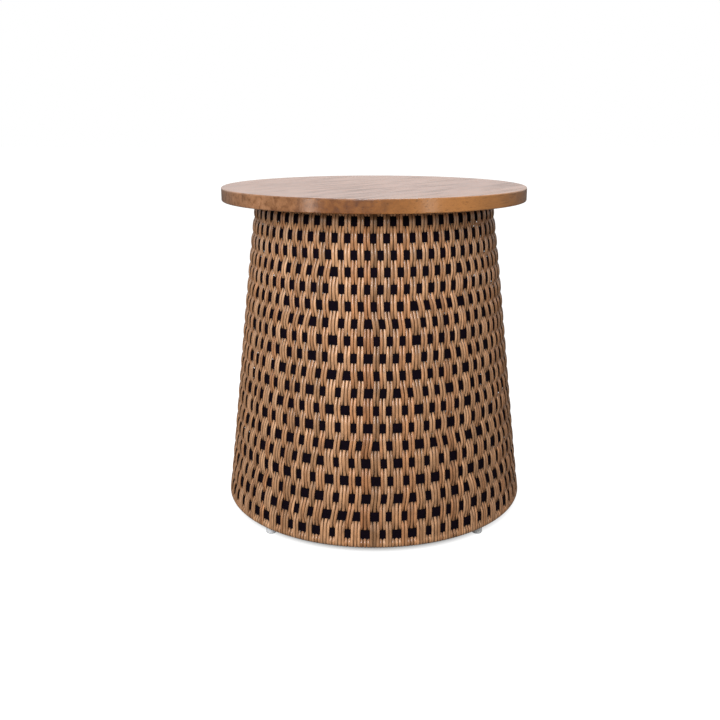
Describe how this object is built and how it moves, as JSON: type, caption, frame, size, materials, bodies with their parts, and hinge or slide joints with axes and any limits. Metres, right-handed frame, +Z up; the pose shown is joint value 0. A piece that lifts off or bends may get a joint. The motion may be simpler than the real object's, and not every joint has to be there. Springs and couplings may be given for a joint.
{
  "type": "side table",
  "caption": "Round side table: a solid wood top on a flared, drum-shaped base of reeds woven over flat black bands, standing on small glides.",
  "frame": {"origin": "centre of the base at floor level", "axes": "+Z up through the middle of the tabletop; -Y towards the viewer of the picture, so the glides lie on the diagonals between X and Y"},
  "size_m": [0.5742, 0.5742, 0.6096],
  "materials": {
    "top_wood": "satin stained wood with an open grain",
    "reed": "satin rattan reed with darker lines between",
    "black_band": "matt black woven band",
    "ring_wood": "plain sanded wood",
    "pole": "plain rattan pole",
    "glide_plastic": "translucent white nylon",
    "screw_steel": "zinc plated"
  },
  "bodies": {
    "root": {"table_top": "top_wood", "top_ring": "ring_wood", "bottom_ring": "ring_wood", "middle_hoop": "pole", "post_01": "pole", "post_02": "pole", "post_03": "pole", "post_04": "pole", "glide_01": "glide_plastic", "glide_02": "glide_plastic", "glide_03": "glide_plastic", "glide_04": "glide_plastic", "top_screws": "screw_steel", "post_screws": "screw_steel", "glide_screws": "screw_steel", "hoop_screws": "screw_steel", "weft_band_01": "black_band", "weft_band_02": "black_band", "weft_band_03": "black_band", "weft_band_04": "black_band", "weft_band_05": "black_band", "weft_band_06": "black_band", "weft_band_07": "black_band", "weft_band_08": "black_band", "weft_band_09": "black_band", "weft_band_10": "black_band", "weft_band_11": "black_band", "weft_band_12": "black_band", "weft_band_13": "black_band", "weft_band_14": "black_band", "weft_band_15": "black_band", "weft_band_16": "black_band", "weft_band_17": "black_band", "weft_band_18": "black_band", "weft_band_19": "black_band", "reed_sector_01": "reed", "reed_sector_02": "reed", "reed_sector_03": "reed", "reed_sector_04": "reed", "reed_sector_05": "reed", "reed_sector_06": "reed", "reed_sector_07": "reed", "reed_sector_08": "reed", "reed_sector_09": "reed", "reed_sector_10": "reed"}
  },
  "joints": []
}
